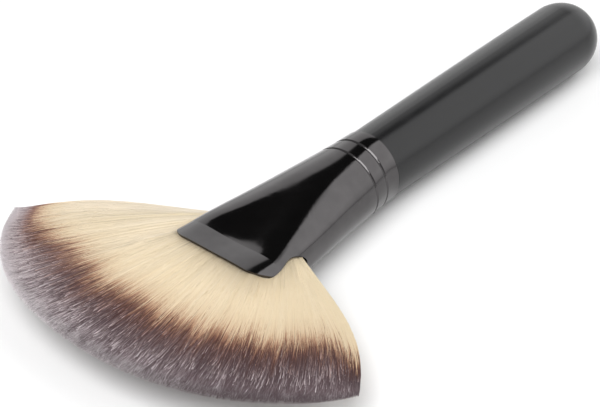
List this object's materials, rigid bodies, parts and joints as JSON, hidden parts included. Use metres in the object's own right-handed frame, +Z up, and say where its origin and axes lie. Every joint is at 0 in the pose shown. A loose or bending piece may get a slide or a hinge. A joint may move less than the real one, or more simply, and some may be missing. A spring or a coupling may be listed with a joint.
{
  "type": "face brush",
  "caption": "Fan-shaped face brush with a flat spread of soft hair in a pressed black ferrule on a turned, matt black handle.",
  "frame": {"origin": "middle of the whole brush's length and width, on the surface that it lies on", "axes": "+X along the brush from the hair to the butt, +Y across the fan, +Z up out of the fan's broad face"},
  "size_m": [0.1615, 0.0917, 0.0178],
  "materials": {
    "handle_lacquer": "matt black lacquer over turned wood",
    "ferrule_gloss": "high-gloss black coating on thin drawn aluminium",
    "hair": "fine tapered synthetic hair, cream with brown and grey tips",
    "glue": "set epoxy"
  },
  "bodies": {
    "root": {"handle": "handle_lacquer", "ferrule": "ferrule_gloss", "bristles": "hair", "glue_plug": "glue"}
  },
  "joints": []
}
